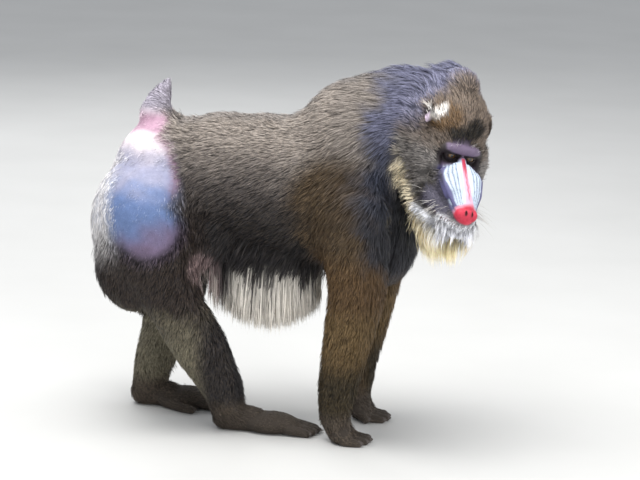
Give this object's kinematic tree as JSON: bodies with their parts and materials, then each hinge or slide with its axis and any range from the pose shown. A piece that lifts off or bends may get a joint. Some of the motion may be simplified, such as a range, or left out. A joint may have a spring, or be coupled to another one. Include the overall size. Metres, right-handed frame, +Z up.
{
  "type": "adult male mandrill, still model",
  "caption": "Life-size standing mandrill on all fours, head turned aside, with mantle, beard and belly fringe.",
  "frame": {"origin": "centre of the bounding box at floor level", "axes": "+X the way the body faces, +Y the animal's left, +Z up"},
  "size_m": [0.7418, 0.3684, 0.6977],
  "materials": {
    "fur_head": "short speckled olive hair, bare ridged muzzle",
    "fur_beard": "long cream beard hair over a bare grey chin",
    "fur_mantle": "long blue-grey mantle hair",
    "fur_trunk": "grizzled brown coat, white belly fringe",
    "rump_skin": "bare lilac and blue skin",
    "tail_coat": "grey-mauve short hair",
    "eye": "wet amber-brown eyeball",
    "ear_skin": "bare pink-mauve skin",
    "fur_arm": "ochre-brown coat",
    "hand_skin": "dark skin, sparse short hair",
    "fur_leg": "grizzled brown coat",
    "foot_skin": "dark skin, sparse short hair"
  },
  "bodies": {
    "root": {"head": "fur_head", "jaw": "fur_beard", "neck": "fur_mantle", "torso": "fur_trunk", "rump": "rump_skin", "tail": "tail_coat", "eye_right": "eye", "ear_right": "ear_skin", "upper_arm_right": "fur_arm", "forearm_right": "fur_arm", "hand_right": "hand_skin", "thigh_right": "fur_leg", "shank_right": "fur_leg", "foot_right": "foot_skin", "eye_left": "eye", "ear_left": "ear_skin", "upper_arm_left": "fur_arm", "forearm_left": "fur_arm", "hand_left": "hand_skin", "thigh_left": "fur_leg", "shank_left": "fur_leg", "foot_left": "foot_skin"}
  },
  "joints": []
}
